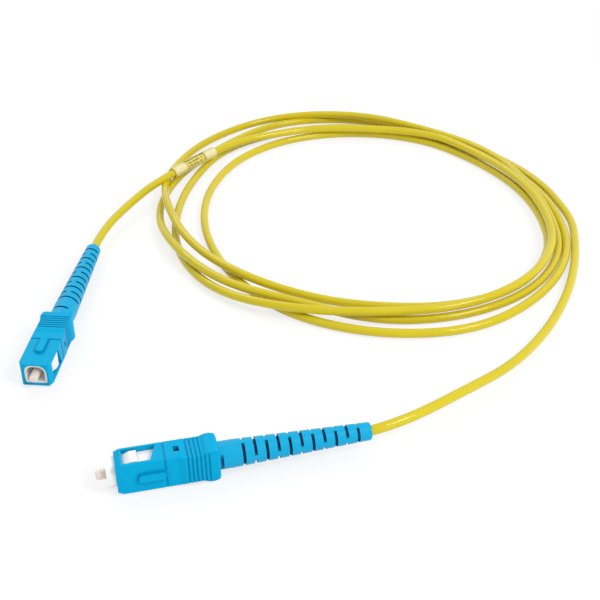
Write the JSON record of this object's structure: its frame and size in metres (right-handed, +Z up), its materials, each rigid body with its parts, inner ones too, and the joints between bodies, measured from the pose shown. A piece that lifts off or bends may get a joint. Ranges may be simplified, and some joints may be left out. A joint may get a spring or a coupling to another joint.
{
  "type": "fibre optic patch cable",
  "caption": "Simplex fibre patch cable: square push-pull plugs with sprung ferrules and slotted boots on a round jacketed cable that lies in a loose coil.",
  "frame": {"origin": "bottom centre of the box round the two plugs, on the table the cable lies on", "axes": "+Z up, +Y away from the viewer of the picture, +X to the viewer's right"},
  "size_m": [0.1767, 0.2296, 0.0098],
  "materials": {
    "blue_plastic": "satin moulded",
    "blue_boot": "soft satin",
    "white_plastic": "smooth",
    "ceramic": "polished",
    "plated_brass": "nickel plated",
    "spring_steel": "drawn wire",
    "crimp_metal": "plain",
    "fibre_buffer": "smooth",
    "yellow_jacket": "semi gloss",
    "label_film": "plain film",
    "clear_sleeve": "clear tube"
  },
  "bodies": {
    "cable": {"front_plug_frame": "white_plastic", "front_stop_ring": "plated_brass", "front_crimp_sleeve": "crimp_metal", "front_boot": "blue_boot", "front_ferrule_spring": "spring_steel", "rear_plug_frame": "white_plastic", "rear_stop_ring": "plated_brass", "rear_crimp_sleeve": "crimp_metal", "rear_boot": "blue_boot", "rear_ferrule_spring": "spring_steel", "cable_lead_front": "yellow_jacket", "cable_coil": "yellow_jacket", "cable_lead_rear": "yellow_jacket", "label_wrap": "label_film", "label_sleeve": "clear_sleeve"},
    "front_housing": {"front_outer_housing": "blue_plastic"},
    "front_ferrule": {"front_ferrule": "ceramic", "front_ferrule_flange": "plated_brass", "front_buffered_fibre": "fibre_buffer"},
    "rear_housing": {"rear_outer_housing": "blue_plastic"},
    "rear_ferrule": {"rear_ferrule": "ceramic", "rear_ferrule_flange": "plated_brass", "rear_buffered_fibre": "fibre_buffer"}
  },
  "joints": [
    {"name": "front_housing_slide", "type": "slide", "parent": "cable", "child": "front_housing", "axis": [-0.9743, -0.2249, -0.012], "range_m": [0, 0.0028]},
    {"name": "rear_housing_slide", "type": "slide", "parent": "cable", "child": "rear_housing", "axis": [0.0785, 0.9969, 0], "range_m": [0, 0.0028]},
    {"name": "front_ferrule_plunge", "type": "slide", "parent": "cable", "child": "front_ferrule", "axis": [0.9743, 0.2249, 0.012], "range_m": [0, 0.002], "stiffness_N_per_m": 1200, "springref_m": -0.006, "deforming": ["front_ferrule_spring"]},
    {"name": "rear_ferrule_plunge", "type": "slide", "parent": "cable", "child": "rear_ferrule", "axis": [0.0785, 0.9969, 0], "range_m": [0, 0.002], "stiffness_N_per_m": 1200, "springref_m": -0.006, "deforming": ["rear_ferrule_spring"]}
  ]
}
